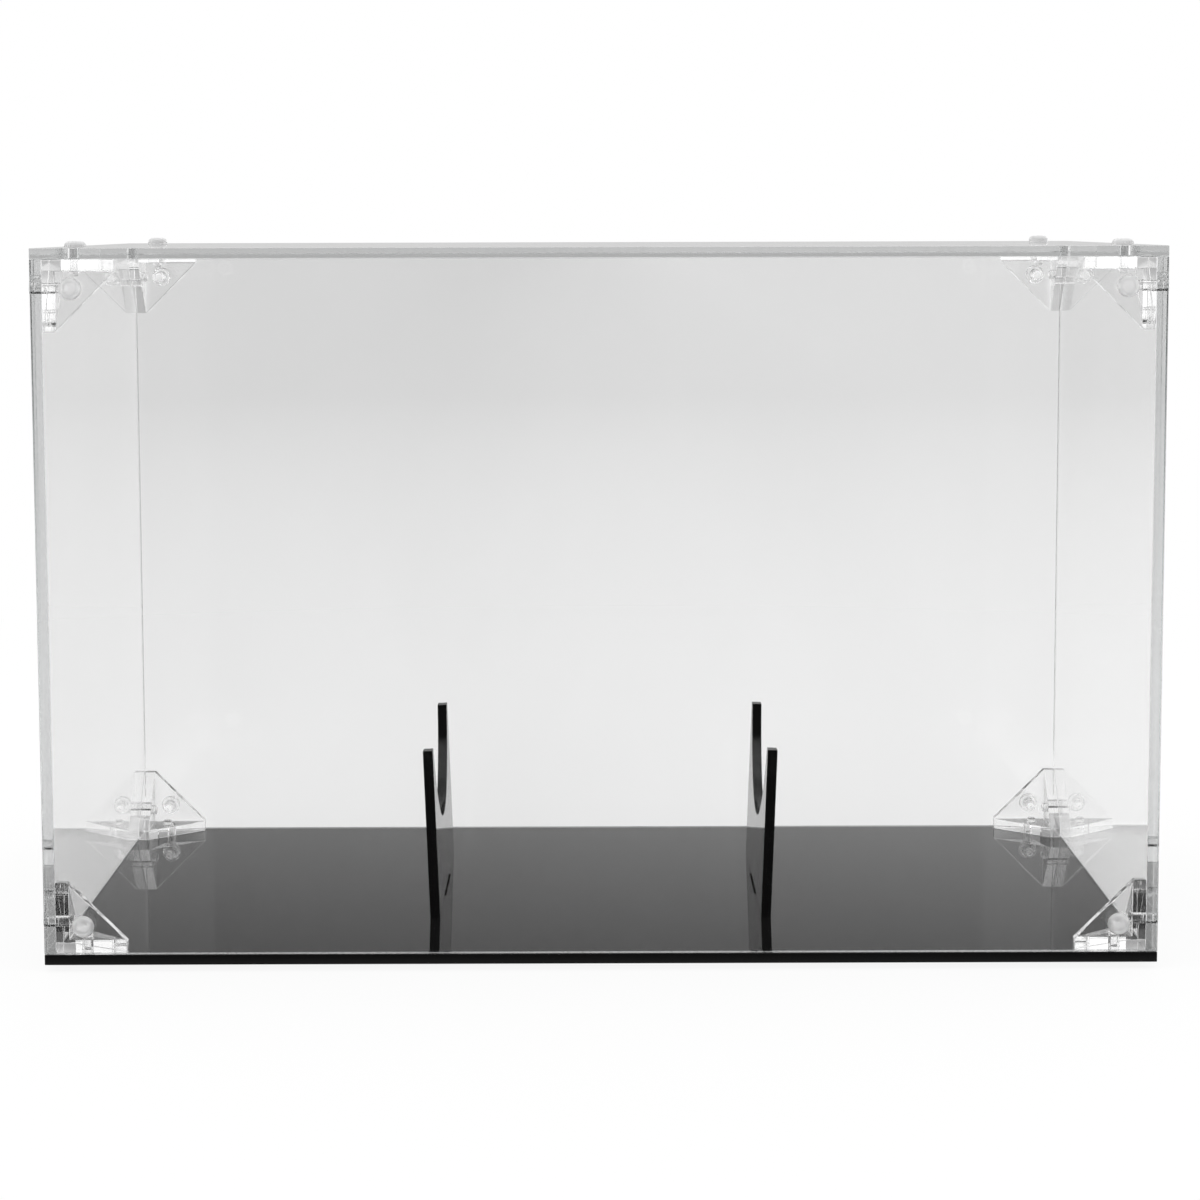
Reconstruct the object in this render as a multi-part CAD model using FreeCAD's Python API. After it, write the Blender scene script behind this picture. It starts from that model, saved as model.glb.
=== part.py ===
import FreeCAD, Part
import math
import os

Vector = FreeCAD.Vector

# Outside of the case, in mm, without the screw heads
case_width = 320.0
case_depth = 200.0
case_height = 205.0

# Acrylic sheet
base_sheet = 3.0
wall_sheet = 3.0
lid_sheet = 3.0
stand_sheet = 3.0

# Corner brackets: three triangular plates that meet in the corner
bracket_leg = 20.5
bracket_wall = 3.4
screw_inset = 8.3  # screw axis from the two inner faces beside it

# Screws
shank_diameter = 3.0
head_diameter = 6.3
head_height = 1.9
head_round = 1.6
tip_round = 0.9
tip_length = 1.6  # shank that stands out of the bracket
panel_hole_clearance = 0.2
bracket_hole_clearance = 0.1

# Ball stands
stand_spacing = 100.0  # between the middles of the two plates, at the base
stand_length = 100.0
stand_height = 51.0
stand_lean = 2.1  # degrees, outward at the top
notch_radius = 50.0
notch_floor = 23.0  # lowest point of the notch above the base
tab_length = 33.0
tab_recess = 0.3  # tab end above the underside of the base
slot_side_gap = 0.1  # outer side and both ends of the tab
slot_inner_gap = 0.4

# Levels and inner faces; the heads below the base are the feet
base_under = head_height
base_top = base_under + base_sheet
lid_top = base_under + case_height
lid_under = lid_top - lid_sheet
half_width = case_width / 2
half_depth = case_depth / 2
inner_x = half_width - wall_sheet
inner_y = half_depth - wall_sheet

# Screw axes
axis_x = inner_x - screw_inset
axis_y = inner_y - screw_inset
axis_low = base_top + screw_inset
axis_high = lid_under - screw_inset


def block(low, high):
    size = high - low
    return Part.makeBox(size.x, size.y, size.z, low)


def drill(shape, point, way, diameter, depth):
    return shape.cut(Part.makeCylinder(diameter / 2, depth, point, way))


def screw(seat, way, grip):
    shank = shank_diameter / 2
    head = head_diameter / 2
    end = grip + tip_length
    slope = math.sqrt(0.5)
    head_arc = Part.Arc(
        Vector(head, 0, head_round - head_height),
        Vector(head - head_round * (1 - slope), 0, head_round * (1 - slope) - head_height),
        Vector(head - head_round, 0, -head_height),
    )
    tip_arc = Part.Arc(
        Vector(shank, 0, end - tip_round),
        Vector(shank - tip_round * (1 - slope), 0, end - tip_round * (1 - slope)),
        Vector(shank - tip_round, 0, end),
    )
    outline = [
        Part.makeLine(Vector(0, 0, end), Vector(0, 0, -head_height)),
        Part.makeLine(Vector(0, 0, -head_height), Vector(head - head_round, 0, -head_height)),
        head_arc.toShape(),
        Part.makeLine(Vector(head, 0, head_round - head_height), Vector(head, 0, 0)),
        Part.makeLine(Vector(head, 0, 0), Vector(shank, 0, 0)),
        Part.makeLine(Vector(shank, 0, 0), Vector(shank, 0, end - tip_round)),
        tip_arc.toShape(),
        Part.makeLine(Vector(shank - tip_round, 0, end), Vector(0, 0, end)),
    ]
    face = Part.Face(Part.Wire(Part.__sortEdges__(outline)))
    solid = face.revolve(Vector(0, 0, 0), Vector(0, 0, 1), 360)
    solid.Placement = FreeCAD.Placement(seat, FreeCAD.Rotation(Vector(0, 0, 1), way))
    return solid


def panel_and_screws(low, high, seats, way, sheet):
    panel = block(low, high)
    hole = shank_diameter + 2 * panel_hole_clearance
    for seat in seats:
        panel = drill(panel, seat, way, hole, sheet)
    screws = [screw(seat, way, sheet + bracket_wall) for seat in seats]
    return panel, Part.makeCompound(screws)


def bracket(corner, ways):
    profile = [
        (0, 0),
        (bracket_leg, 0),
        (bracket_leg, bracket_wall),
        (bracket_wall, bracket_leg),
        (0, bracket_leg),
        (0, 0),
    ]
    plates = []
    for turn in range(3):
        first, second, normal = ways[turn], ways[(turn + 1) % 3], ways[(turn + 2) % 3]
        points = [corner + first * a + second * b for a, b in profile]
        plates.append(Part.Face(Part.makePolygon(points)).extrude(normal * bracket_wall))
    solid = plates[0].fuse(plates[1:]).removeSplitter()
    hole = shank_diameter + 2 * bracket_hole_clearance
    for turn in range(3):
        first, second, normal = ways[turn], ways[(turn + 1) % 3], ways[(turn + 2) % 3]
        solid = drill(solid, corner + (first + second) * screw_inset, normal, hole, bracket_wall)
    return solid.Solids[0]


def stand(side):
    notch_centre = notch_floor + notch_radius
    plate = block(
        Vector(-stand_sheet, -stand_length / 2, 0),
        Vector(0, stand_length / 2, stand_height),
    )
    tab = block(
        Vector(-stand_sheet, -tab_length / 2, tab_recess - base_sheet),
        Vector(0, tab_length / 2, 0),
    )
    notch = Part.makeCylinder(
        notch_radius, 3 * stand_sheet, Vector(-2 * stand_sheet, 0, notch_centre), Vector(1, 0, 0)
    )
    solid = plate.fuse(tab).removeSplitter().cut(notch).Solids[0]
    solid.rotate(Vector(0, 0, 0), Vector(0, 1, 0), stand_lean)
    solid.translate(Vector(stand_spacing / 2 + stand_sheet / 2, 0, base_top))
    if side < 0:
        solid = solid.mirror(Vector(0, 0, 0), Vector(1, 0, 0))
    return solid


def stand_slot(side):
    lean = math.radians(stand_lean)
    outer = stand_spacing / 2 + stand_sheet / 2
    inner = outer - stand_sheet / math.cos(lean) - base_sheet * math.tan(lean)
    low = Vector(inner - slot_inner_gap, -tab_length / 2 - slot_side_gap, base_under)
    high = Vector(outer + slot_side_gap, tab_length / 2 + slot_side_gap, base_top)
    slot = block(low, high)
    if side < 0:
        slot = slot.mirror(Vector(0, 0, 0), Vector(1, 0, 0))
    return slot


def level_seats(z):
    return [Vector(sx * axis_x, sy * axis_y, z) for sx in (-1, 1) for sy in (-1, 1)]


def front_seats(y):
    return [Vector(sx * axis_x, y, z) for sx in (-1, 1) for z in (axis_low, axis_high)]


def side_seats(x):
    return [Vector(x, sy * axis_y, z) for sy in (-1, 1) for z in (axis_low, axis_high)]


nodes = {}

nodes["base_panel"], nodes["base_screws"] = panel_and_screws(
    Vector(-half_width, -half_depth, base_under),
    Vector(half_width, half_depth, base_top),
    level_seats(base_under),
    Vector(0, 0, 1),
    base_sheet,
)
for side in (-1, 1):
    nodes["base_panel"] = nodes["base_panel"].cut(stand_slot(side))

nodes["top_panel"], nodes["top_screws"] = panel_and_screws(
    Vector(-half_width, -half_depth, lid_under),
    Vector(half_width, half_depth, lid_top),
    level_seats(lid_top),
    Vector(0, 0, -1),
    lid_sheet,
)

nodes["front_panel"], nodes["front_screws"] = panel_and_screws(
    Vector(-half_width, -half_depth, base_top),
    Vector(half_width, -inner_y, lid_under),
    front_seats(-half_depth),
    Vector(0, 1, 0),
    wall_sheet,
)

nodes["back_panel"], nodes["back_screws"] = panel_and_screws(
    Vector(-half_width, inner_y, base_top),
    Vector(half_width, half_depth, lid_under),
    front_seats(half_depth),
    Vector(0, -1, 0),
    wall_sheet,
)

nodes["left_panel"], nodes["left_screws"] = panel_and_screws(
    Vector(-half_width, -inner_y, base_top),
    Vector(-inner_x, inner_y, lid_under),
    side_seats(-half_width),
    Vector(1, 0, 0),
    wall_sheet,
)

nodes["right_panel"], nodes["right_screws"] = panel_and_screws(
    Vector(inner_x, -inner_y, base_top),
    Vector(half_width, inner_y, lid_under),
    side_seats(half_width),
    Vector(-1, 0, 0),
    wall_sheet,
)

for x_name, sx in (("left", -1), ("right", 1)):
    nodes[x_name + "_stand"] = stand(sx)
    for y_name, sy in (("front", -1), ("back", 1)):
        for z_name, z, sz in (("low", base_top, 1), ("top", lid_under, -1)):
            nodes["bracket_" + y_name + "_" + x_name + "_" + z_name] = bracket(
                Vector(sx * inner_x, sy * inner_y, z),
                (Vector(-sx, 0, 0), Vector(0, -sy, 0), Vector(0, 0, sz)),
            )

os.makedirs("parts", exist_ok=True)
for name, shape in nodes.items():
    shape.exportStep("parts/" + name + ".step")
    print(name, len(shape.Solids), round(shape.Volume, 1), shape.isValid())
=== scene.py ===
import bpy
import bmesh
import math
from mathutils import Matrix, Vector


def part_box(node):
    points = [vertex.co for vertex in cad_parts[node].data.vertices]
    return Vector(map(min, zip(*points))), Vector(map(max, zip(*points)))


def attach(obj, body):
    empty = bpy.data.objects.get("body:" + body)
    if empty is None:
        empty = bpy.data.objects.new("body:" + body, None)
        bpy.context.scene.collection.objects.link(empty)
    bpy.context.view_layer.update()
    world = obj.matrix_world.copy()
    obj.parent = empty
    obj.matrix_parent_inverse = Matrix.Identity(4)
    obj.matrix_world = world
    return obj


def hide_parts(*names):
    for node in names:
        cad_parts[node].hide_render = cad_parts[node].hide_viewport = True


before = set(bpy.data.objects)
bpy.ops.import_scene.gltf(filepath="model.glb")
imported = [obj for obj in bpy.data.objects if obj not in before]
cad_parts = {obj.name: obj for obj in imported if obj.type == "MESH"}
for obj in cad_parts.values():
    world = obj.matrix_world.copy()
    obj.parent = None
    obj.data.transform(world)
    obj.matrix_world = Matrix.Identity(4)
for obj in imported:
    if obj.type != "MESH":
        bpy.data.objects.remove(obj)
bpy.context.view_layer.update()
scene = bpy.context.scene
mm = 0.001
print("frame loaded:", len(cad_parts), "nodes")

# camera, fitted to the photograph's own lines
cameraSetup = {
    "place": (-1.8, -1024.2, 214.3),  # mm
    "yaw": -0.109,  # degrees
    "pitch": 6.611,
    "roll": -0.151,
    "lens": 98.29,
    "sensor": 36.0,
    "nearest": 0.02,  # clipping, in metres
    "farthest": 60,
}


def makeCamera(setup):
    yaw, pitch, roll = (math.radians(setup[k]) for k in ("yaw", "pitch", "roll"))
    level = Vector((-math.sin(yaw), math.cos(yaw), 0))
    side = Vector((math.cos(yaw), math.sin(yaw), 0))
    rise = Vector((0, 0, 1))
    ahead = level * math.cos(pitch) - rise * math.sin(pitch)
    above = level * math.sin(pitch) + rise * math.cos(pitch)
    right = side * math.cos(roll) + above * math.sin(roll)
    up = above * math.cos(roll) - side * math.sin(roll)
    data = bpy.data.cameras.new("photoCamera")
    data.sensor_fit = "HORIZONTAL"
    data.sensor_width = setup["sensor"]
    data.lens = setup["lens"]
    data.clip_start = setup["nearest"]
    data.clip_end = setup["farthest"]
    camera = bpy.data.objects.new("photoCamera", data)
    scene.collection.objects.link(camera)
    turn = Matrix((right, up, -ahead)).transposed().to_4x4()
    camera.matrix_world = Matrix.Translation(Vector(setup["place"]) * mm) @ turn
    scene.camera = camera


makeCamera(cameraSetup)
print("camera made")


# materials: small helpers for node trees
def addNode(tree, kind, inputs=None, **settings):
    node = tree.nodes.new(kind)
    for key, value in settings.items():
        setattr(node, key, value)
    for key, value in (inputs or {}).items():
        if isinstance(value, bpy.types.NodeSocket):
            tree.links.new(value, node.inputs[key])
        else:
            node.inputs[key].default_value = value
    return node


def mathNode(tree, operation, *values):
    return addNode(tree, "ShaderNodeMath", dict(enumerate(values)), operation=operation).outputs[0]


def stretchNode(tree, value, start, stop, low, high):
    inputs = {"Value": value, "From Min": start, "From Max": stop, "To Min": low, "To Max": high}
    return addNode(tree, "ShaderNodeMapRange", inputs).outputs["Result"]


def newMaterial(name):
    material = bpy.data.materials.new(name)
    material.use_nodes = True
    tree = material.node_tree
    tree.nodes.clear()
    place = addNode(tree, "ShaderNodeTexCoord").outputs["Object"]
    return material, tree, place


def rampNode(tree, factor, stops):
    node = addNode(tree, "ShaderNodeValToRGB", {"Fac": factor})
    points = node.color_ramp.elements
    while len(points) < len(stops):
        points.new(0.5)
    for point, (where, level) in zip(points, stops):
        point.position = where
        point.color = (level, level, level, 1)
    return node.outputs["Color"]


def noiseFactor(tree, place, scale, detail, stretch=(1, 1, 1)):
    mapped = addNode(tree, "ShaderNodeMapping", {"Vector": place, "Scale": stretch})
    inputs = {"Vector": mapped.outputs["Vector"], "Scale": scale, "Detail": detail}
    return addNode(tree, "ShaderNodeTexNoise", inputs).outputs["Fac"]


def blendNode(tree, share, first, second):
    return addNode(tree, "ShaderNodeMix", {0: share, 2: first, 3: second}).outputs[0]


def mixShaders(tree, share, first, second):
    return addNode(tree, "ShaderNodeMixShader", {0: share, 1: first, 2: second}).outputs["Shader"]


def addMilk(tree, surface, share, colour):
    # natural nylon scatters light from outside, and lets it through when seen from inside
    inside = addNode(tree, "ShaderNodeNewGeometry").outputs["Backfacing"]
    matt = addNode(tree, "ShaderNodeBsdfDiffuse", {"Color": colour}).outputs["BSDF"]
    glowing = addNode(tree, "ShaderNodeBsdfTranslucent", {"Color": colour}).outputs["BSDF"]
    return mixShaders(tree, share, surface, mixShaders(tree, inside, matt, glowing))


def clearShader(tree, colour, rough, index, normal=None):
    inputs = {"Base Color": colour, "Roughness": rough, "IOR": index, "Transmission Weight": 1.0}
    if normal:
        inputs["Normal"] = normal
    return addNode(tree, "ShaderNodeBsdfPrincipled", inputs).outputs["BSDF"]


bodyColour = (0.0, 0.06, 0.06, 1)  # takes a little more red than green and blue


def finishGlass(tree, surface, shadow, density=0.0):
    # lamps reach what is behind the clear pieces
    light = addNode(tree, "ShaderNodeLightPath").outputs["Is Shadow Ray"]
    through = addNode(tree, "ShaderNodeBsdfTransparent", {"Color": (shadow, shadow, shadow, 1)})
    ends = {"Surface": mixShaders(tree, light, surface, through.outputs["BSDF"])}
    if density:
        body = addNode(tree, "ShaderNodeVolumeAbsorption", {"Color": bodyColour, "Density": density})
        ends["Volume"] = body.outputs["Volume"]
    addNode(tree, "ShaderNodeOutputMaterial", ends)


clearSheetLook = {
    "smudgeScale": 9.0,
    "grainScale": 420.0,
    "tintLow": 0.962,
    "tintHigh": 0.988,
    "haze": 0.02,
    "grainStrength": 0.002,
    "grainDepth": 0.0001,
    "index": 1.49,
    "shadow": 0.955,  # light left behind each face
    "density": 0.6,  # light lost along the sheet, per metre
}


def clearSheetMaterial(look):
    material, tree, place = newMaterial("clear_acrylic")
    smudge = noiseFactor(tree, place, look["smudgeScale"], 5.0, (1.0, 1.0, 0.6))
    grain = noiseFactor(tree, place, look["grainScale"], 2.0, (0.15, 1.0, 1.0))
    tint = rampNode(tree, smudge, [(0.35, look["tintLow"]), (0.65, look["tintHigh"])])
    rub = rampNode(tree, smudge, [(0.55, 0.0), (0.75, look["haze"])])
    relief = {"Strength": look["grainStrength"], "Distance": look["grainDepth"], "Height": grain}
    normal = addNode(tree, "ShaderNodeBump", relief).outputs["Normal"]
    surface = clearShader(tree, tint, rub, look["index"], normal)
    finishGlass(tree, surface, look["shadow"], look["density"])
    return material


cutEdgeLook = {"stripeScale": 900.0, "tint": 0.88, "tintFall": 0.03, "roughLow": 0.01, "roughHigh": 0.08}
lidEdgeLook = {**cutEdgeLook, "tint": 0.78, "roughLow": 0.02, "roughHigh": 0.1}
footEdgeLook = {**cutEdgeLook, "tint": 0.99, "roughLow": 0.22, "roughHigh": 0.4}  # sawn, not polished


def cutEdgeMaterial(name, look):
    material, tree, place = newMaterial(name)
    stripe = noiseFactor(tree, place, look["stripeScale"], 2.0, (1.0, 1.0, 0.05))
    rough = rampNode(tree, stripe, [(0.3, look["roughLow"]), (0.8, look["roughHigh"])])
    tone = rampNode(tree, stripe, [(0.3, look["tint"] - look["tintFall"]), (0.7, look["tint"])])
    surface = clearShader(tree, tone, rough, clearSheetLook["index"])
    finishGlass(tree, surface, clearSheetLook["shadow"], clearSheetLook["density"])
    return material


blackSheetLook = {
    "colour": 0.006,
    "speck": 0.05,  # level of the few dust specks
    "dustScale": 1400.0,
    "wearScale": 14.0,
    "roughLow": 0.012,
    "roughHigh": 0.05,
    "index": 1.49,
    "dull": 0.0,  # share of the shine lost to fine rubbing
}
standLook = {**blackSheetLook, "dull": 0.22}


def blackSheetMaterial(name, look):
    material, tree, place = newMaterial(name)
    wear = noiseFactor(tree, place, look["wearScale"], 6.0)
    dust = noiseFactor(tree, place, look["dustScale"], 1.0)
    base = look["colour"]
    tone = rampNode(tree, dust, [(0.0, base), (0.78, base), (0.86, look["speck"])])
    rough = rampNode(tree, wear, [(0.4, look["roughLow"]), (0.75, look["roughHigh"])])
    inputs = {"Base Color": tone, "Roughness": rough, "IOR": look["index"]}
    surface = addNode(tree, "ShaderNodeBsdfPrincipled", inputs).outputs["BSDF"]
    if look["dull"]:
        matt = addNode(tree, "ShaderNodeBsdfDiffuse", {"Color": tone})
        surface = mixShaders(tree, look["dull"], surface, matt.outputs["BSDF"])
    addNode(tree, "ShaderNodeOutputMaterial", {"Surface": surface})
    return material


bracketLook = {
    "flowScale": 160.0,
    "tintLow": 0.985,
    "tintHigh": 0.998,
    "roughLow": 0.0,
    "roughHigh": 0.05,
    "index": 1.5,
    "shadow": 0.95,
}


def bracketMaterial(look):
    material, tree, place = newMaterial("clear_bracket")
    flow = noiseFactor(tree, place, look["flowScale"], 4.0, (1.0, 1.0, 0.4))
    tone = rampNode(tree, flow, [(0.3, look["tintLow"]), (0.7, look["tintHigh"])])
    rough = rampNode(tree, flow, [(0.45, look["roughLow"]), (0.8, look["roughHigh"])])
    finishGlass(tree, clearShader(tree, tone, rough, look["index"]), look["shadow"])
    return material


shankLook = {
    "cloudScale": 700.0,
    "toneLow": 0.98,
    "toneHigh": 0.998,
    "roughLow": 0.05,
    "roughHigh": 0.12,
    "index": 1.49,
    "shadow": 0.93,
    "milk": 0.0,  # share of the surface that scatters light
}
headLook = {
    **shankLook,
    "toneLow": 0.95,
    "toneHigh": 0.99,
    "roughLow": 0.32,
    "roughHigh": 0.44,
    "milk": 0.45,
}


def screwMaterial(name, look):
    material, tree, place = newMaterial(name)
    cloud = noiseFactor(tree, place, look["cloudScale"], 3.0)
    tone = rampNode(tree, cloud, [(0.3, look["toneLow"]), (0.7, look["toneHigh"])])
    rough = rampNode(tree, cloud, [(0.3, look["roughLow"]), (0.7, look["roughHigh"])])
    surface = clearShader(tree, tone, rough, look["index"])
    if look["milk"]:
        surface = addMilk(tree, surface, look["milk"], tone)
    finishGlass(tree, surface, look["shadow"])
    return material


clearSheet = clearSheetMaterial(clearSheetLook)
cutEdge = cutEdgeMaterial("clear_cut_edge", cutEdgeLook)
lidEdge = cutEdgeMaterial("clear_lid_edge", lidEdgeLook)
footEdge = cutEdgeMaterial("frosted_foot_edge", footEdgeLook)
blackSheet = blackSheetMaterial("black_acrylic", blackSheetLook)
standSheet = blackSheetMaterial("black_acrylic_stand", standLook)
bracketPlastic = bracketMaterial(bracketLook)
shankPlastic = screwMaterial("clear_screw", shankLook)
headPlastic = screwMaterial("frosted_head", headLook)
print("materials made")

# mesh helpers, in mm until the object is made
sharpAngles = {"bevel": math.radians(35), "sheet": math.radians(14), "screw": math.radians(40)}
weld = 0.001  # vertices closer than this are one


def addLoop(bm, points):
    verts = [bm.verts.new(p) for p in points]
    count = len(verts)
    return [bm.edges.new((verts[i], verts[(i + 1) % count])) for i in range(count)]


def circle(x, y, radius, count=48):
    turns = [2 * math.pi * i / count for i in range(count)]
    return [(x + radius * math.cos(a), y + radius * math.sin(a)) for a in turns]


def rectangle(low, high, across, along):
    left, right, near, far = low[across], high[across], low[along], high[along]
    return [(left, near), (right, near), (right, far), (left, far)]


def bevelSharp(bm, width, segments):
    sharp = [e for e in bm.edges if e.is_manifold and e.calc_face_angle() > sharpAngles["bevel"]]
    bmesh.ops.bevel(bm, geom=sharp, offset=width, segments=segments, profile=0.5, affect="EDGES")


def sheetMesh(outline, cutouts, thickness, chamfer, segments=1):
    # outline and cutouts lie in the sheet's plane, z is its thickness
    bm = bmesh.new()
    edges = []
    for loop in [outline] + cutouts:
        edges += addLoop(bm, [(x, y, 0) for x, y in loop])
    bmesh.ops.triangle_fill(bm, use_beauty=True, use_dissolve=False, edges=edges)
    grown = bmesh.ops.extrude_face_region(bm, geom=bm.faces[:])
    raised = [v for v in grown["geom"] if isinstance(v, bmesh.types.BMVert)]
    bmesh.ops.translate(bm, vec=(0, 0, thickness), verts=raised)
    bmesh.ops.recalc_face_normals(bm, faces=bm.faces[:])
    bevelSharp(bm, chamfer, segments)
    return bm


def faceOut(bm):
    if bm.calc_volume(signed=True) < 0:
        bmesh.ops.reverse_faces(bm, faces=bm.faces[:])


edgeSplit = {"flat": 0.99, "foot": 0.01 * mm}  # normals of the broad faces, depth of the bottom face


def splitEdges(bm, thin, hasFoot):
    # broad faces keep the first material, edges take the second and the bottom face the third
    bm.normal_update()
    foot = min(v.co.z for v in bm.verts) + edgeSplit["foot"]
    for face in bm.faces:
        face.material_index = 0 if abs(face.normal[thin]) > edgeSplit["flat"] else 1
        if hasFoot and all(v.co.z < foot for v in face.verts):
            face.material_index = 2


def placePiece(bm, name, material, edgeMaterial=None, thin=None, footMaterial=None):
    faceOut(bm)
    bmesh.ops.scale(bm, vec=(mm, mm, mm), verts=bm.verts[:])
    mesh = bpy.data.meshes.new(name)
    if edgeMaterial:
        splitEdges(bm, thin, footMaterial is not None)
    bm.to_mesh(mesh)
    bm.free()
    for layer in (material, edgeMaterial, footMaterial):
        if layer:
            mesh.materials.append(layer)
    mesh.shade_smooth()
    mesh.set_sharp_from_angle(angle=sharpAngles["sheet"])
    piece = bpy.data.objects.new(name, mesh)
    scene.collection.objects.link(piece)
    return piece


def handIn(piece, body, slot, *nodes):
    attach(piece, body)
    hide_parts(*nodes)


# flat sheets of the case
sheetSizes = {
    "seat": 0.06,  # air left between two pieces that touch
    "chamfer": 0.12,
    "hole": 1.7,  # radius of the drilled holes
    "inset": 8.3,  # screw axis from the inner faces beside it
}


def cornersOf(node):
    low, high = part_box(node)
    return low / mm, high / mm


def clearPanel(node, name, thin, seats, body, inset, edge, foot=None):
    low, high = cornersOf(node)
    across, along = [i for i in range(3) if i != thin]
    gap = sheetSizes["seat"]
    for axis in inset:
        low[axis] += gap
        high[axis] -= gap
    outline = rectangle(low, high, across, along)
    holes = [circle(a, b, sheetSizes["hole"]) for a, b in seats]
    bm = sheetMesh(outline, holes, high[thin] - low[thin], sheetSizes["chamfer"])
    for vert in bm.verts:
        spot = Vector((0, 0, 0))
        spot[across], spot[along], spot[thin] = vert.co.x, vert.co.y, low[thin] + vert.co.z
        vert.co = spot
    bmesh.ops.recalc_face_normals(bm, faces=bm.faces[:])
    piece = placePiece(bm, name, clearSheet, edge, thin, foot)
    handIn(piece, body, "clear_acrylic", node)


def fourSeats(a, b, c, d):
    return [(x, y) for x in (a, b) for y in (c, d)]


baseUnder, baseTop = (v.z for v in cornersOf("base_panel"))
lidUnder, lidTop = (v.z for v in cornersOf("top_panel"))
innerX = cornersOf("right_panel")[0].x
outerX = cornersOf("right_panel")[1].x
innerY = cornersOf("back_panel")[0].y
outerY = cornersOf("back_panel")[1].y
axisX, axisY = innerX - sheetSizes["inset"], innerY - sheetSizes["inset"]
axisLow, axisHigh = baseTop + sheetSizes["inset"], lidUnder - sheetSizes["inset"]
levelSeats = fourSeats(-axisX, axisX, -axisY, axisY)
faceSeats = fourSeats(-axisX, axisX, axisLow, axisHigh)
sideSeats = fourSeats(-axisY, axisY, axisLow, axisHigh)
clearPanel("front_panel", "frontPanel", 1, faceSeats, "case", (2,), cutEdge, footEdge)
clearPanel("back_panel", "backPanel", 1, faceSeats, "case", (2,), cutEdge)
clearPanel("left_panel", "leftPanel", 0, sideSeats, "case", (1, 2), cutEdge)
clearPanel("right_panel", "rightPanel", 0, sideSeats, "case", (1, 2), cutEdge)
clearPanel("top_panel", "topPanel", 2, levelSeats, "lid", (), lidEdge)
print("clear panels made")

# black base with its two slots
baseSizes = {"chamfer": 0.15, "slotInner": 48.28, "slotOuter": 51.6, "slotHalf": 16.6}


def basePanel(sizes):
    low, high = cornersOf("base_panel")
    outline = rectangle(low, high, 0, 1)
    cuts = [circle(x, y, sheetSizes["hole"]) for x, y in levelSeats]
    for side in (-1, 1):
        a, b, h = side * sizes["slotInner"], side * sizes["slotOuter"], sizes["slotHalf"]
        cuts.append([(a, -h), (b, -h), (b, h), (a, h)])
    bm = sheetMesh(outline, cuts, high.z - low.z, sizes["chamfer"])
    bmesh.ops.translate(bm, vec=(0, 0, low.z), verts=bm.verts[:])
    piece = placePiece(bm, "basePanel", blackSheet)
    handIn(piece, "case", "black_acrylic", "base_panel")


basePanel(baseSizes)
print("base made")

# ball stands
standSizes = {
    "thickness": 3.0,
    "half": 50.0,
    "height": 51.0,
    "notchRadius": 50.0,
    "notchFloor": 23.0,
    "tabHalf": 16.5,
    "tabDrop": 2.7,
    "foot": 51.5,  # outer face at the base
    "lean": 2.1,  # degrees
    "chamfer": 0.18,
    "notchSteps": 72,
}


def standOutline(s):
    centre = s["notchFloor"] + s["notchRadius"]
    reach = math.acos((centre - s["height"]) / s["notchRadius"])
    steps = s["notchSteps"]
    sweep = [reach - 2 * reach * i / steps for i in range(steps + 1)]
    notch = [(s["notchRadius"] * math.sin(a), centre - s["notchRadius"] * math.cos(a)) for a in sweep]
    foot = [(-s["half"], 0), (-s["tabHalf"], 0), (-s["tabHalf"], -s["tabDrop"])]
    foot += [(s["tabHalf"], -s["tabDrop"]), (s["tabHalf"], 0), (s["half"], 0), (s["half"], s["height"])]
    return foot + notch + [(-s["half"], s["height"])]


def ballStand(side, node, name, s):
    bm = sheetMesh(standOutline(s), [], s["thickness"], s["chamfer"], 2)
    lean = math.radians(s["lean"])
    for vert in bm.verts:
        y, z, x = vert.co
        x -= s["thickness"]
        turnedX = x * math.cos(lean) + z * math.sin(lean)
        turnedZ = z * math.cos(lean) - x * math.sin(lean)
        vert.co = Vector((side * (s["foot"] + turnedX), y, baseTop + turnedZ))
    bmesh.ops.recalc_face_normals(bm, faces=bm.faces[:])
    piece = placePiece(bm, name, standSheet)
    handIn(piece, node, "black_acrylic", node)


ballStand(-1, "left_stand", "leftStand", standSizes)
ballStand(1, "right_stand", "rightStand", standSizes)
print("stands made")

# corner brackets: three plates that meet in the corner
bracketSizes = {
    "leg": 20.5,
    "wall": 3.4,
    "inset": sheetSizes["inset"],
    "hole": 1.6,
    "round": 0.22,
    "seat": sheetSizes["seat"],
}


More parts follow.
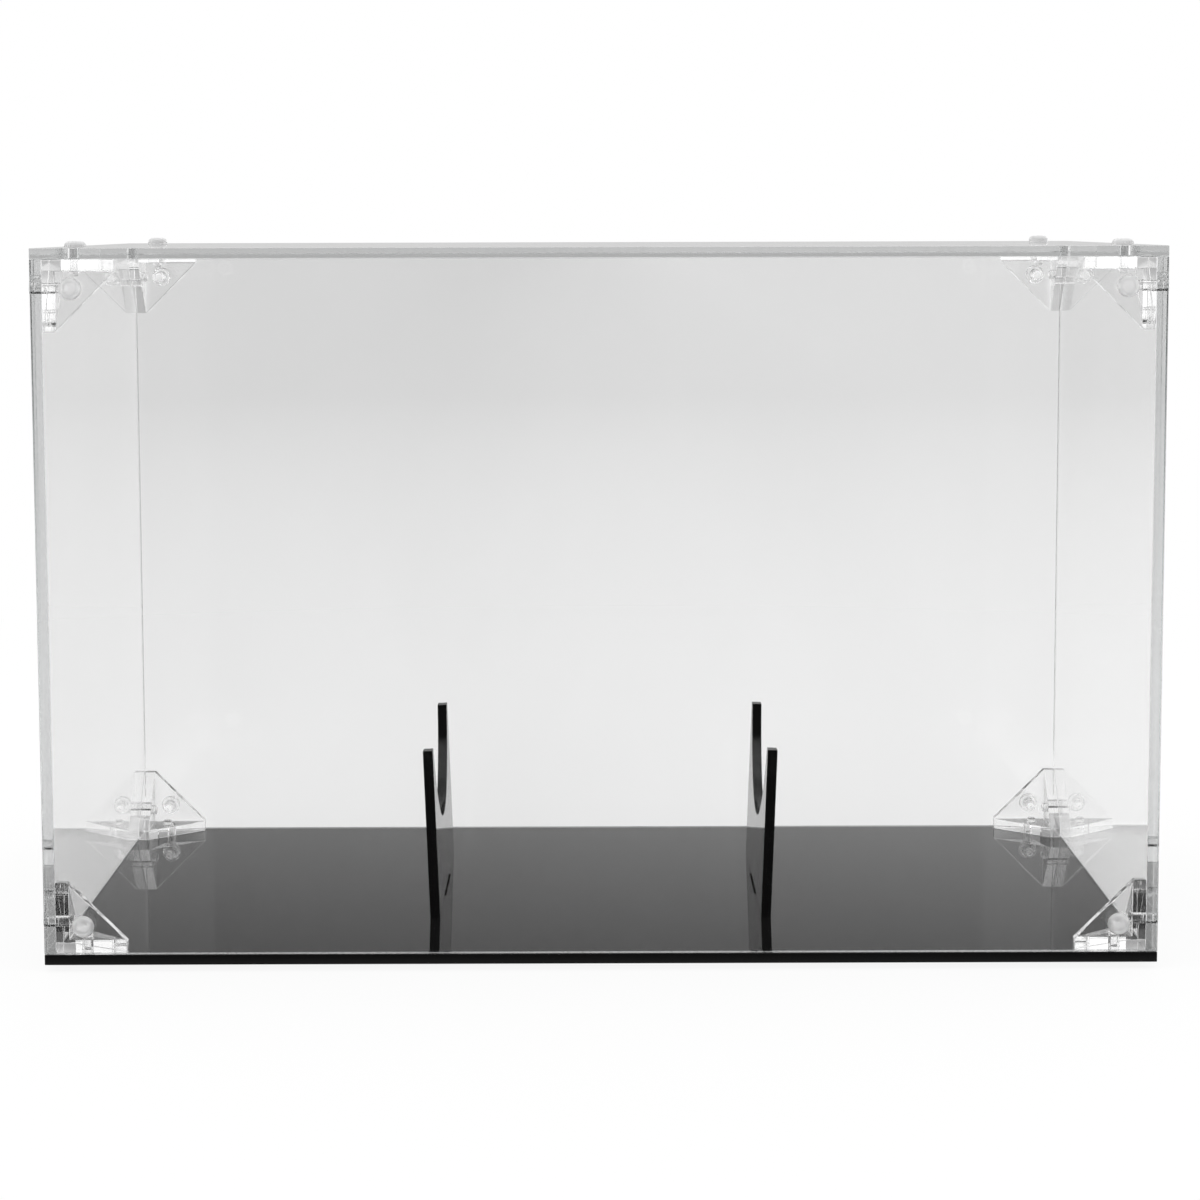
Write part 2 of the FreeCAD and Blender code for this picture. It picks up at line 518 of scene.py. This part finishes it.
def bracketMesh(s):
    leg, wall = s["leg"], s["wall"]
    bm = bmesh.new()
    for turn in range(3):
        order = [turn, (turn + 1) % 3, (turn + 2) % 3]

        def at(a, b, c):
            spot = [0, 0, 0]
            for axis, value in zip(order, (a, b, c)):
                spot[axis] = value
            return spot

        ring = circle(s["inset"], s["inset"], s["hole"])
        outer = [(0, 0), (leg, 0), (leg, wall), (wall, leg), (0, leg)]
        inner = [(wall, wall), (leg, wall), (wall, leg)]
        for shape, level in ((outer, 0), (inner, wall)):
            edges = addLoop(bm, [at(a, b, level) for a, b in shape])
            edges += addLoop(bm, [at(a, b, level) for a, b in ring])
            bmesh.ops.triangle_fill(bm, use_beauty=True, use_dissolve=False, edges=edges)
        count = len(ring)
        for i in range(count):
            p, q = ring[i], ring[(i + 1) % count]
            bm.faces.new([bm.verts.new(at(*c)) for c in ((*p, 0), (*q, 0), (*q, wall), (*p, wall))])
        slope = ((leg, wall, 0), (wall, leg, 0), (wall, leg, wall), (leg, wall, wall))
        end = ((leg, 0, 0), (leg, wall, 0), (leg, wall, wall), (leg, 0, wall))
        for quad in (slope, end):
            bm.faces.new([bm.verts.new(at(*c)) for c in quad])
    bmesh.ops.remove_doubles(bm, verts=bm.verts[:], dist=weld)
    bmesh.ops.recalc_face_normals(bm, faces=bm.faces[:])
    bevelSharp(bm, s["round"], 2)
    return bm


def cornerBracket(node, name, corner, ways, s):
    bm = bracketMesh(s)
    for vert in bm.verts:
        vert.co = Vector([c + w * (v + s["seat"]) for c, w, v in zip(corner, ways, vert.co)])
    bmesh.ops.recalc_face_normals(bm, faces=bm.faces[:])
    piece = placePiece(bm, name, bracketPlastic)
    handIn(piece, "case", "clear_bracket", node)


for xName, sx in (("left", -1), ("right", 1)):
    for yName, sy in (("front", -1), ("back", 1)):
        for zName, level, sz in (("low", baseTop, 1), ("top", lidUnder, -1)):
            cornerBracket(
                f"bracket_{yName}_{xName}_{zName}",
                f"{yName}{xName.title()}{zName.title()}Bracket",
                (sx * innerX, sy * innerY, level),
                (-sx, -sy, sz),
                bracketSizes,
            )
print("brackets made")

# screws: one node tree, used once for each panel's four
screwSizes = {
    "Head Radius": 3.15 * mm,
    "Head Height": 1.9 * mm,
    "Head Round": 1.6 * mm,
    "Shank Radius": 1.5 * mm,
    "Shank Length": 8.0 * mm,
    "Tip Round": 0.9 * mm,
    "Thread Pitch": 0.5 * mm,
    "Thread Depth": 0.06 * mm,
    "Seat Gap": 0.05 * mm,
}
screwGrid = {"around": 37, "along": 161}  # vertices
screwStops = {  # shares of the profile, from the top of the head to the tip
    "crown": (0.0, 0.05),
    "shoulder": (0.05, 0.15),
    "rim": (0.15, 0.175),
    "under": (0.175, 0.2),
    "shank": (0.2, 0.925),
    "threadStart": (0.46, 0.5),
    "threadStop": (0.88, 0.925),
    "tip": (0.925, 0.975),
    "close": (0.975, 1.0),
}


def screwTree(sizes, counts, stops):
    tree = bpy.data.node_groups.new("plasticScrews", "GeometryNodeTree")
    tree.interface.new_socket("Geometry", in_out="INPUT", socket_type="NodeSocketGeometry")
    for name, value in sizes.items():
        socket = tree.interface.new_socket(name, in_out="INPUT", socket_type="NodeSocketFloat")
        socket.default_value = value
    tree.interface.new_socket("Way", in_out="INPUT", socket_type="NodeSocketVector")
    tree.interface.new_socket("Seat Level", in_out="INPUT", socket_type="NodeSocketFloat")
    tree.interface.new_socket("Finish", in_out="INPUT", socket_type="NodeSocketMaterial")
    tree.interface.new_socket("Head Finish", in_out="INPUT", socket_type="NodeSocketMaterial")
    tree.interface.new_socket("Geometry", in_out="OUTPUT", socket_type="NodeSocketGeometry")
    given = addNode(tree, "NodeGroupInput").outputs
    square = {"Size X": 1.0, "Size Y": 1.0, "Vertices X": counts["around"], "Vertices Y": counts["along"]}
    grid = addNode(tree, "GeometryNodeMeshGrid", square)
    flat = addNode(tree, "GeometryNodeInputPosition").outputs[0]
    spot = addNode(tree, "ShaderNodeSeparateXYZ", {"Vector": flat})
    around = mathNode(tree, "ADD", spot.outputs["X"], 0.5)
    along = mathNode(tree, "ADD", spot.outputs["Y"], 0.5)
    quarter = math.pi / 2
    crown = stretchNode(tree, along, *stops["crown"], 0.0, 1.0)
    shoulder = stretchNode(tree, along, *stops["shoulder"], 0.0, quarter)
    rim = stretchNode(tree, along, *stops["rim"], 0.0, 1.0)
    under = stretchNode(tree, along, *stops["under"], 0.0, 1.0)
    shank = stretchNode(tree, along, *stops["shank"], 0.0, 1.0)
    tip = stretchNode(tree, along, *stops["tip"], 0.0, quarter)
    close = stretchNode(tree, along, *stops["close"], 0.0, 1.0)

    def times(*values):
        total = values[0]
        for value in values[1:]:
            total = mathNode(tree, "MULTIPLY", total, value)
        return total

    def minus(a, b):
        return mathNode(tree, "SUBTRACT", a, b)

    def plus(*values):
        total = values[0]
        for value in values[1:]:
            total = mathNode(tree, "ADD", total, value)
        return total

    head, headTall, headRound = given["Head Radius"], given["Head Height"], given["Head Round"]
    thin, length, tipRound = given["Shank Radius"], given["Shank Length"], given["Tip Round"]
    shoulderRise = minus(1.0, mathNode(tree, "COSINE", shoulder))
    tipFall = minus(1.0, mathNode(tree, "COSINE", tip))
    radius = plus(
        times(minus(head, headRound), crown),
        times(headRound, mathNode(tree, "SINE", shoulder)),
        times(minus(thin, head), under),
        times(tipRound, tipFall, -1.0),
        times(minus(tipRound, thin), close),
    )
    height = plus(
        times(headTall, -1.0),
        times(headRound, shoulderRise),
        times(minus(minus(headTall, headRound), given["Seat Gap"]), rim),
        times(plus(minus(length, tipRound), given["Seat Gap"]), shank),
        times(tipRound, mathNode(tree, "SINE", tip)),
    )
    turn = plus(mathNode(tree, "DIVIDE", height, given["Thread Pitch"]), around)
    ridge = times(mathNode(tree, "PINGPONG", turn, 0.5), 2.0)
    start = stretchNode(tree, along, *stops["threadStart"], 0.0, 1.0)
    stop = stretchNode(tree, along, *stops["threadStop"], 1.0, 0.0)
    radius = minus(radius, times(given["Thread Depth"], ridge, start, stop))
    angle = times(around, 2 * math.pi)
    ring = addNode(
        tree,
        "ShaderNodeCombineXYZ",
        {
            "X": times(radius, mathNode(tree, "COSINE", angle)),
            "Y": times(radius, mathNode(tree, "SINE", angle)),
            "Z": height,
        },
    )
    turned = addNode(
        tree,
        "GeometryNodeSetPosition",
        {"Geometry": grid.outputs["Mesh"], "Position": ring.outputs["Vector"]},
    )
    merged = addNode(
        tree,
        "GeometryNodeMergeByDistance",
        {"Geometry": turned.outputs["Geometry"], "Distance": weld * mm},
    )
    facing = addNode(tree, "FunctionNodeAlignRotationToVector", {"Vector": given["Way"]}, axis="Z")
    placed = addNode(
        tree,
        "GeometryNodeInstanceOnPoints",
        {
            "Points": given["Geometry"],
            "Instance": merged.outputs["Geometry"],
            "Rotation": facing.outputs["Rotation"],
        },
    )
    real = addNode(tree, "GeometryNodeRealizeInstances", {"Geometry": placed.outputs["Instances"]})
    clear = addNode(
        tree,
        "GeometryNodeSetMaterial",
        {"Geometry": real.outputs["Geometry"], "Material": given["Finish"]},
    )
    where = addNode(tree, "GeometryNodeInputPosition").outputs[0]
    depth = addNode(tree, "ShaderNodeVectorMath", {0: where, 1: given["Way"]}, operation="DOT_PRODUCT")
    outside = mathNode(tree, "LESS_THAN", depth.outputs["Value"], given["Seat Level"])
    done = addNode(
        tree,
        "GeometryNodeSetMaterial",
        {"Geometry": clear.outputs["Geometry"], "Selection": outside, "Material": given["Head Finish"]},
    )
    addNode(tree, "NodeGroupOutput", {"Geometry": done.outputs["Geometry"]})
    return tree


plasticScrews = screwTree(screwSizes, screwGrid, screwStops)


def screwSet(node, name, body, seats, way):
    points = bpy.data.meshes.new(name + "Seats")
    points.from_pydata([Vector(p) * mm for p in seats], [], [])
    host = bpy.data.objects.new(name + "Seats", points)
    scene.collection.objects.link(host)
    modifier = host.modifiers.new("screws", "NODES")
    modifier.node_group = plasticScrews
    settings = {"Way": way, "Finish": shankPlastic, "Head Finish": headPlastic}
    # just outside the seat, so that the underside of the head stays clear
    settings["Seat Level"] = Vector(seats[0]).dot(Vector(way)) * mm - 2 * screwSizes["Seat Gap"]
    for item in plasticScrews.interface.items_tree:
        if item.name in settings:
            modifier[item.identifier] = settings[item.name]
    graph = bpy.context.evaluated_depsgraph_get()
    mesh = bpy.data.meshes.new_from_object(host.evaluated_get(graph), depsgraph=graph)
    host.modifiers.remove(modifier)
    bpy.data.objects.remove(host)
    bm = bmesh.new()
    bm.from_mesh(mesh)
    bmesh.ops.remove_doubles(bm, verts=bm.verts[:], dist=weld * mm)
    bmesh.ops.recalc_face_normals(bm, faces=bm.faces[:])
    bm.to_mesh(mesh)
    bm.free()
    mesh.name = name
    mesh.shade_smooth()
    mesh.set_sharp_from_angle(angle=sharpAngles["screw"])
    piece = bpy.data.objects.new(name, mesh)
    scene.collection.objects.link(piece)
    handIn(piece, body, "clear_screw", node)


screwSet("base_screws", "baseScrews", "case", [(x, y, baseUnder) for x, y in levelSeats], (0, 0, 1))
screwSet("top_screws", "topScrews", "lid", [(x, y, lidTop) for x, y in levelSeats], (0, 0, -1))
screwSet("front_screws", "frontScrews", "case", [(x, -outerY, z) for x, z in faceSeats], (0, 1, 0))
screwSet("back_screws", "backScrews", "case", [(x, outerY, z) for x, z in faceSeats], (0, -1, 0))
screwSet("left_screws", "leftScrews", "case", [(-outerX, y, z) for y, z in sideSeats], (1, 0, 0))
screwSet("right_screws", "rightScrews", "case", [(outerX, y, z) for y, z in sideSeats], (-1, 0, 0))
print("screws made")

# pale floor and studio surroundings, in metres
mirrorDepth = {"middle": 1.5, "spread": 1.0}  # one or two mirror bounces
floorLook = {
    "half": 30.0,
    "near": 1.0,  # painted light: how bright it shows through the case, close by and far off
    "far": 0.85,
    "fade": (0.4, 3.0),
    # painted light, lighter to the right than to the left
    "sideways": 0.035,
    "sidewaysReach": 0.4,
    "beside": (0.36, 0.58),  # painted extra light close to the left and right walls
    "besideReach": 0.2,
    "besideStart": (0.16, 0.163),
    "besideEnd": (0.105, 0.135),
    "splayFrom": 0.09,
    "splay": 0.14,
    "paintedWingLight": 0.4,  # and farther out
    "wingReach": (0.2, 0.4),
    "wingSplay": 0.5,
    "shade": 0.1,  # share of the paint that takes shadows
    "shadeReach": (0.3, 0.8),
    "paint": 0.75,
    "paintedFrontShade": 0.03,  # painted shade on the floor in front, where gloss mirrors it
    "frontEdge": (-0.12, -0.06),
    "frontReach": (0.3, 0.6),
    "frontSplay": 0.35,
    "underWide": (0.1, 0.12),  # the patch under the case that stays dark
    "underDeep": (0.05, 0.07),
}


def mirroredNode(tree, light):
    depth = light.outputs["Glossy Depth"]
    return mathNode(tree, "COMPARE", depth, mirrorDepth["middle"], mirrorDepth["spread"])


def paleFloor(look):
    h = look["half"]
    mesh = bpy.data.meshes.new("floor")
    mesh.from_pydata([(-h, -h, 0), (h, -h, 0), (h, h, 0), (-h, h, 0)], [], [(0, 1, 2, 3)])
    floor = bpy.data.objects.new("floor", mesh)
    scene.collection.objects.link(floor)
    material, tree, place = newMaterial("pale_floor")
    spot = addNode(tree, "ShaderNodeSeparateXYZ", {"Vector": place})
    light = addNode(tree, "ShaderNodeLightPath")
    reach = addNode(tree, "ShaderNodeVectorMath", {0: place}, operation="LENGTH").outputs["Value"]
    x, y = spot.outputs["X"], spot.outputs["Y"]
    close = stretchNode(tree, reach, *look["shadeReach"], look["shade"], 0.0)
    # painted light on the glowing floor: lighter close by than far off, and lighter to the right
    paintedFalloff = stretchNode(tree, y, *look["fade"], look["near"], look["far"])
    span = look["sidewaysReach"]
    lean = stretchNode(tree, x, -span, span, -look["sideways"], look["sideways"])
    aside = mathNode(tree, "ABSOLUTE", x)
    # painted extra light beside the left and right walls, and farther out
    edge = stretchNode(tree, x, -look["besideReach"], look["besideReach"], *look["beside"])
    past = mathNode(tree, "MAXIMUM", mathNode(tree, "SUBTRACT", y, look["splayFrom"]), 0.0)
    margin = mathNode(tree, "SUBTRACT", aside, mathNode(tree, "MULTIPLY", past, look["splay"]))
    edge = mathNode(tree, "MULTIPLY", edge, stretchNode(tree, margin, *look["besideStart"], 0.0, 1.0))
    edge = mathNode(tree, "MULTIPLY", edge, stretchNode(tree, y, *look["besideEnd"], 1.0, 0.0))
    beyond = mathNode(tree, "MULTIPLY", mathNode(tree, "MAXIMUM", y, 0.0), look["wingSplay"])
    outward = mathNode(tree, "SUBTRACT", aside, beyond)
    paintedWingLight = stretchNode(tree, outward, *look["wingReach"], 0.0, look["paintedWingLight"])
    edge = mathNode(tree, "MAXIMUM", edge, paintedWingLight)
    seen = mathNode(tree, "ADD", mathNode(tree, "ADD", paintedFalloff, lean), edge)
    # painted shade: the floor in front turns dark for one or two mirror bounces
    ahead = stretchNode(tree, y, *look["frontEdge"], 1.0, 0.0)
    toFront = mathNode(tree, "MULTIPLY", mathNode(tree, "MINIMUM", y, 0.0), look["frontSplay"])
    middle = stretchNode(tree, mathNode(tree, "ADD", aside, toFront), *look["frontReach"], 1.0, 0.0)
    ahead = mathNode(tree, "MULTIPLY", ahead, middle)
    dark = mathNode(tree, "MULTIPLY", ahead, mirroredNode(tree, light))
    seen = blendNode(tree, dark, seen, look["paintedFrontShade"])
    seen = blendNode(tree, light.outputs["Is Camera Ray"], seen, 1.0)
    shown = mathNode(tree, "MAXIMUM", light.outputs["Is Camera Ray"], light.outputs["Is Glossy Ray"])
    shown = mathNode(tree, "MAXIMUM", shown, light.outputs["Is Transmission Ray"])
    wide = stretchNode(tree, aside, *look["underWide"], 0.0, 1.0)
    deep = stretchNode(tree, mathNode(tree, "ABSOLUTE", y), *look["underDeep"], 0.0, 1.0)
    shown = mathNode(tree, "MULTIPLY", shown, mathNode(tree, "MAXIMUM", wide, deep))
    clearOf = mathNode(tree, "SUBTRACT", 1.0, close)
    glow = mathNode(tree, "MULTIPLY", mathNode(tree, "MULTIPLY", seen, shown), clearOf)
    # the painted shade in front also darkens the paint there
    pale = mathNode(tree, "MULTIPLY", mathNode(tree, "SUBTRACT", 1.0, dark), close)
    pale = blendNode(tree, light.outputs["Is Diffuse Ray"], pale, look["paint"])
    paint = addNode(tree, "ShaderNodeCombineColor", {"Red": pale, "Green": pale, "Blue": pale})
    matt = addNode(tree, "ShaderNodeBsdfDiffuse", {"Color": paint.outputs["Color"]})
    lit = addNode(tree, "ShaderNodeEmission", {"Strength": glow})
    both = addNode(tree, "ShaderNodeAddShader", {0: matt.outputs[0], 1: lit.outputs[0]})
    addNode(tree, "ShaderNodeOutputMaterial", {"Surface": both.outputs[0]})
    mesh.materials.append(material)


paleFloor(floorLook)

studioLook = {
    "fill": 0.7,  # light on matt surfaces
    "levels": [  # height of the direction and brightness of the backdrop there
        (-0.2, 1.0),
        (-0.1, 1.0),
        (0.0, 1.1),
        (0.04, 1.0),
        (0.12, 0.68),
        (0.18, 0.57),
        (0.22, 0.34),
        (0.26, 0.37),
        (0.33, 0.6),
        (0.45, 0.6),
        (0.8, 0.65),
        (0.93, 0.8),
        (0.98, 1.4),
        (1.0, 1.4),
    ],
    "peak": 1.5,  # brightness at the top of the ramp's scale
    "lean": 0.9,  # rise from left to right
    "leanReach": 0.3,
    "horizon": 0.66,  # where a flat top mirrors it at a low angle
    "horizonBand": (0.02, 0.04),
    "leftSide": 1.2,
    "rightSide": 1.3,
    "sideBand": (0.55, 0.85),
    "front": 0.75,
    "dark": 0.03,  # the front, where gloss mirrors it
    "frontBand": (-0.35, -0.25),
}


def studioWorld(look):
    world = bpy.data.worlds.new("studio")
    scene.world = world
    world.use_nodes = True
    tree = world.node_tree
    tree.nodes.clear()
    way = addNode(tree, "ShaderNodeTexCoord").outputs["Generated"]
    spot = addNode(tree, "ShaderNodeSeparateXYZ", {"Vector": way})
    light = addNode(tree, "ShaderNodeLightPath")
    x, y, z = (spot.outputs[axis] for axis in ("X", "Y", "Z"))
    lowest, highest = look["levels"][0][0], look["levels"][-1][0]
    lift = stretchNode(tree, z, lowest, highest, 0.0, 1.0)
    spread = highest - lowest
    stops = [((height - lowest) / spread, level / look["peak"]) for height, level in look["levels"]]
    back = mathNode(tree, "MULTIPLY", rampNode(tree, lift, stops), look["peak"])
    reach = look["leanReach"]
    change = reach * look["lean"]
    back = mathNode(tree, "MULTIPLY", back, stretchNode(tree, x, -reach, reach, 1 - change, 1 + change))
    low = stretchNode(tree, mathNode(tree, "ABSOLUTE", z), *look["horizonBand"], 1.0, 0.0)
    skim = mathNode(tree, "MULTIPLY", low, light.outputs["Is Glossy Ray"])
    back = blendNode(tree, skim, back, look["horizon"])
    start, end = look["sideBand"]
    seen = blendNode(tree, stretchNode(tree, x, -end, -start, 1.0, 0.0), back, look["leftSide"])
    seen = blendNode(tree, stretchNode(tree, x, start, end, 0.0, 1.0), seen, look["rightSide"])
    front = stretchNode(tree, y, *look["frontBand"], 1.0, 0.0)
    ahead = stretchNode(tree, mirroredNode(tree, light), 0.0, 1.0, look["front"], look["dark"])
    seen = blendNode(tree, front, seen, ahead)
    shown = mathNode(tree, "MAXIMUM", light.outputs["Is Glossy Ray"], light.outputs["Is Transmission Ray"])
    level = blendNode(tree, shown, look["fill"], seen)
    level = blendNode(tree, light.outputs["Is Camera Ray"], level, 1.0)
    sky = addNode(tree, "ShaderNodeBackground", {"Color": (1, 1, 1, 1), "Strength": level})
    addNode(tree, "ShaderNodeOutputWorld", {"Surface": sky.outputs[0]})


studioWorld(studioLook)

lampAim = (0, 0, 0.1)
lampSetup = {
    "overhead": {"place": (0, 0.1, 1.7), "size": 1.3, "power": 9.0},
    "left": {"place": (-1.6, -0.3, 0.9), "size": 0.9, "power": 5.0},
    "right": {"place": (1.6, -0.2, 0.9), "size": 0.9, "power": 6.0},
}


def softLamp(name, setup):
    data = bpy.data.lights.new(name, "AREA")
    data.shape = "SQUARE"
    data.size = setup["size"]
    data.energy = setup["power"]
    lamp = bpy.data.objects.new(name, data)
    lamp.visible_glossy = False
    lamp.visible_transmission = False
    scene.collection.objects.link(lamp)
    place = Vector(setup["place"])
    aim = (Vector(lampAim) - place).to_track_quat("-Z", "Y")
    lamp.matrix_world = Matrix.Translation(place) @ aim.to_matrix().to_4x4()


for lampName, setup in lampSetup.items():
    softLamp(lampName + "Softbox", setup)

scene.view_settings.view_transform = "Standard"
bounces = {"light": 128, "transparent": 32}  # light runs along inside the clear sheets
scene.cycles.max_bounces = bounces["light"]
scene.cycles.transmission_bounces = bounces["light"]
scene.cycles.glossy_bounces = bounces["light"]
scene.cycles.transparent_max_bounces = bounces["transparent"]
scene.cycles.caustics_reflective = False
scene.cycles.caustics_refractive = False
print("studio made")
